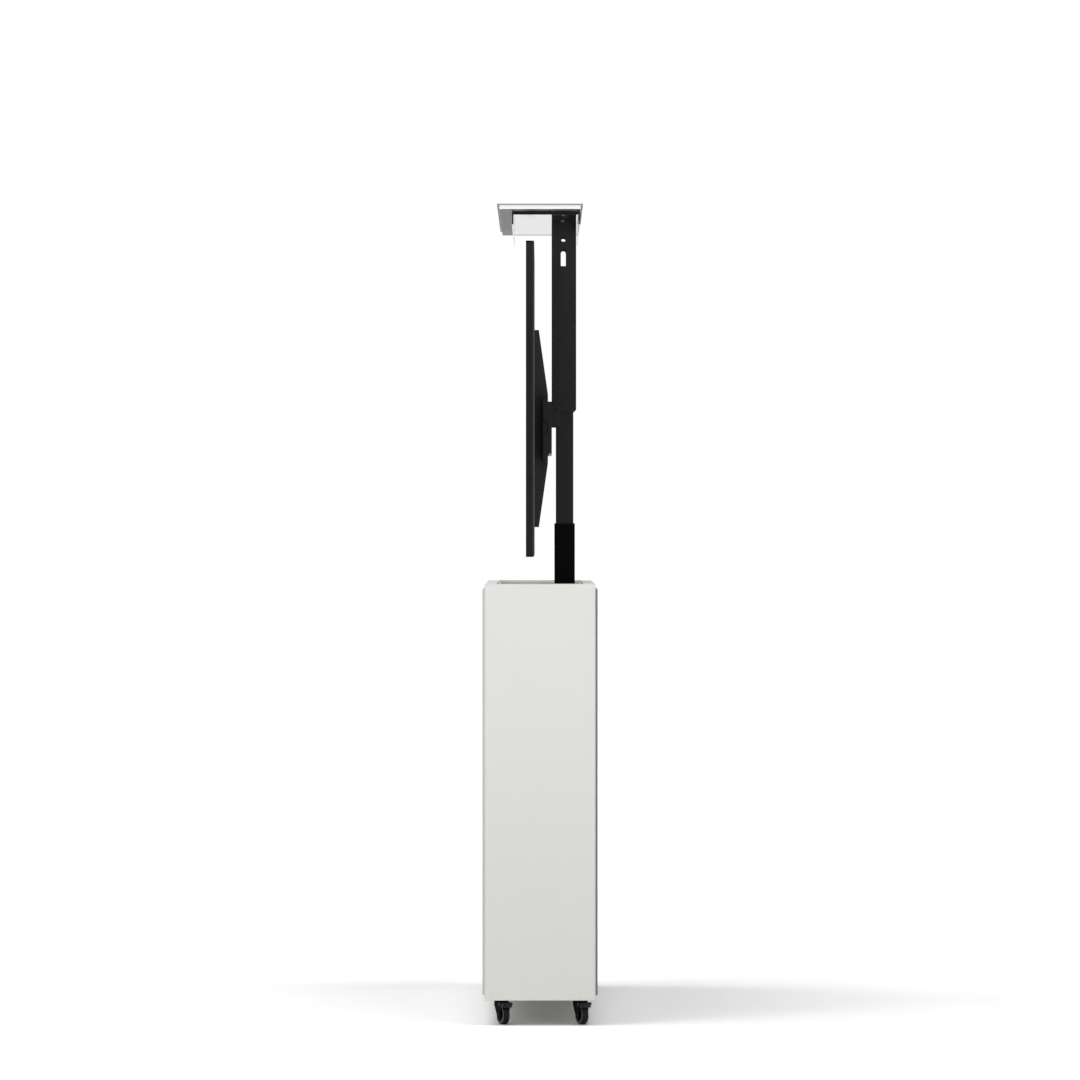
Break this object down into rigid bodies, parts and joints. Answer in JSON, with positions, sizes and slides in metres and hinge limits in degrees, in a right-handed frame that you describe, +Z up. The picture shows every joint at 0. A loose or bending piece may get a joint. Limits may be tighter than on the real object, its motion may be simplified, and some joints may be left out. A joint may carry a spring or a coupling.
{
  "type": "tv lift cabinet",
  "caption": "Slim white mobile cabinet on braked castors whose telescopic column raises a lid and, hung under it, a flat display out of the top opening.",
  "frame": {"origin": "on the floor, under the middle of the cabinet, with the lift fully raised", "axes": "+X along the cabinet's width, -Y towards the side that the screen faces, +Z up"},
  "size_m": [1.6, 0.301, 2.148],
  "materials": {
    "white_laminate": "satin white laminate on board",
    "lid_laminate": "gloss white laminate on board",
    "raw_timber": "planed softwood",
    "black_powder_coat": "semi-gloss black powder coat on steel",
    "black_plastic": "moulded black plastic",
    "castor_tread": "dark grey rubber tread on a moulded core",
    "black_screws": "blackened steel",
    "bright_steel": "zinc plated or ground steel",
    "cast_alloy": "cast alloy, sand-blast finish",
    "motor_can": "dark painted motor can",
    "nut_nylon": "natural nylon",
    "screen_glass": "dark switched-off display panel"
  },
  "bodies": {
    "cabinet": {"side_panel_right": "white_laminate", "side_panel_left": "white_laminate", "base_panel": "white_laminate", "front_top_rail": "white_laminate", "rear_top_rail": "white_laminate", "end_ledges": "white_laminate", "front_board": "white_laminate", "rear_board": "white_laminate", "front_panel": "white_laminate", "rear_panel": "white_laminate", "corner_cleats": "raw_timber", "cable_grommet": "black_plastic", "power_inlet": "black_plastic", "control_box": "black_plastic", "lift_base_plate": "black_powder_coat", "gearbox_housing": "cast_alloy", "drive_motor": "motor_can", "column_outer_tube": "black_powder_coat", "outer_tube_collar": "black_plastic", "lower_lead_screw": "bright_steel", "castor_stems": "bright_steel"},
    "middle_stage": {"column_middle_tube": "black_powder_coat", "middle_tube_collar": "black_plastic", "lower_nut_block": "nut_nylon", "upper_lead_screw": "bright_steel"},
    "lift_head": {"column_inner_tube": "black_powder_coat", "upper_nut_block": "nut_nylon", "head_sleeve": "black_powder_coat", "sleeve_spacers": "black_powder_coat", "head_bolts": "black_screws", "lid_tray": "black_powder_coat", "tray_screws": "black_screws", "lid_board": "lid_laminate", "lid_top_plate": "lid_laminate", "mount_plate": "black_powder_coat", "upper_hook_rail": "black_powder_coat", "lower_hook_rail": "black_powder_coat", "mount_cheeks": "black_powder_coat", "hook_arm_right": "black_powder_coat", "hook_arm_left": "black_powder_coat", "screen_screws": "black_screws", "screen_back_cover": "black_plastic", "screen_bezel": "black_plastic", "screen_glass": "screen_glass"},
    "castor_front_right": {"castor_housing_front_right": "black_plastic", "castor_axle_front_right": "bright_steel"},
    "wheel_front_right": {"castor_wheel_front_right": "castor_tread"},
    "pedal_front_right": {"brake_pedal_front_right": "black_plastic"},
    "castor_rear_right": {"castor_housing_rear_right": "black_plastic", "castor_axle_rear_right": "bright_steel"},
    "wheel_rear_right": {"castor_wheel_rear_right": "castor_tread"},
    "pedal_rear_right": {"brake_pedal_rear_right": "black_plastic"},
    "castor_front_left": {"castor_housing_front_left": "black_plastic", "castor_axle_front_left": "bright_steel"},
    "wheel_front_left": {"castor_wheel_front_left": "castor_tread"},
    "pedal_front_left": {"brake_pedal_front_left": "black_plastic"},
    "castor_rear_left": {"castor_housing_rear_left": "black_plastic", "castor_axle_rear_left": "bright_steel"},
    "wheel_rear_left": {"castor_wheel_rear_left": "castor_tread"},
    "pedal_rear_left": {"brake_pedal_rear_left": "black_plastic"}
  },
  "joints": [
    {"name": "middle_stage_slide", "type": "slide", "parent": "cabinet", "child": "middle_stage", "axis": [0, 0, -1], "range_m": [0, 0.497]},
    {"name": "head_slide", "type": "slide", "parent": "middle_stage", "child": "lift_head", "axis": [0, 0, -1], "range_m": [0, 0.497]},
    {"name": "swivel_front_right", "type": "hinge", "parent": "cabinet", "child": "castor_front_right", "pos_m": [0.73, -0.103, 0.06], "axis": [0, 0, 1], "continuous": true},
    {"name": "wheel_spin_front_right", "type": "hinge", "parent": "castor_front_right", "child": "wheel_front_right", "pos_m": [0.74462, -0.09649, 0.025], "axis": [-0.4067, 0.9135, 0], "continuous": true},
    {"name": "brake_front_right", "type": "hinge", "parent": "castor_front_right", "child": "pedal_front_right", "pos_m": [0.75284, -0.09283, 0.054], "axis": [-0.4067, 0.9135, 0], "range_deg": [0, 12]},
    {"name": "swivel_rear_right", "type": "hinge", "parent": "cabinet", "child": "castor_rear_right", "pos_m": [0.73, 0.103, 0.06], "axis": [0, 0, 1], "continuous": true},
    {"name": "wheel_spin_rear_right", "type": "hinge", "parent": "castor_rear_right", "child": "wheel_rear_right", "pos_m": [0.74462, 0.10951, 0.025], "axis": [-0.4067, 0.9135, 0], "continuous": true},
    {"name": "brake_rear_right", "type": "hinge", "parent": "castor_rear_right", "child": "pedal_rear_right", "pos_m": [0.75284, 0.11317, 0.054], "axis": [-0.4067, 0.9135, 0], "range_deg": [0, 12]},
    {"name": "swivel_front_left", "type": "hinge", "parent": "cabinet", "child": "castor_front_left", "pos_m": [-0.73, -0.103, 0.06], "axis": [0, 0, 1], "continuous": true},
    {"name": "wheel_spin_front_left", "type": "hinge", "parent": "castor_front_left", "child": "wheel_front_left", "pos_m": [-0.71538, -0.09649, 0.025], "axis": [-0.4067, 0.9135, 0], "continuous": true},
    {"name": "brake_front_left", "type": "hinge", "parent": "castor_front_left", "child": "pedal_front_left", "pos_m": [-0.70716, -0.09283, 0.054], "axis": [-0.4067, 0.9135, 0], "range_deg": [0, 12]},
    {"name": "swivel_rear_left", "type": "hinge", "parent": "cabinet", "child": "castor_rear_left", "pos_m": [-0.73, 0.103, 0.06], "axis": [0, 0, 1], "continuous": true},
    {"name": "wheel_spin_rear_left", "type": "hinge", "parent": "castor_rear_left", "child": "wheel_rear_left", "pos_m": [-0.71538, 0.10951, 0.025], "axis": [-0.4067, 0.9135, 0], "continuous": true},
    {"name": "brake_rear_left", "type": "hinge", "parent": "castor_rear_left", "child": "pedal_rear_left", "pos_m": [-0.70716, 0.11317, 0.054], "axis": [-0.4067, 0.9135, 0], "range_deg": [0, 12]}
  ],
  "couplings": [
    {"joint": "head_slide", "follows": "middle_stage_slide", "ratio": 1}
  ]
}
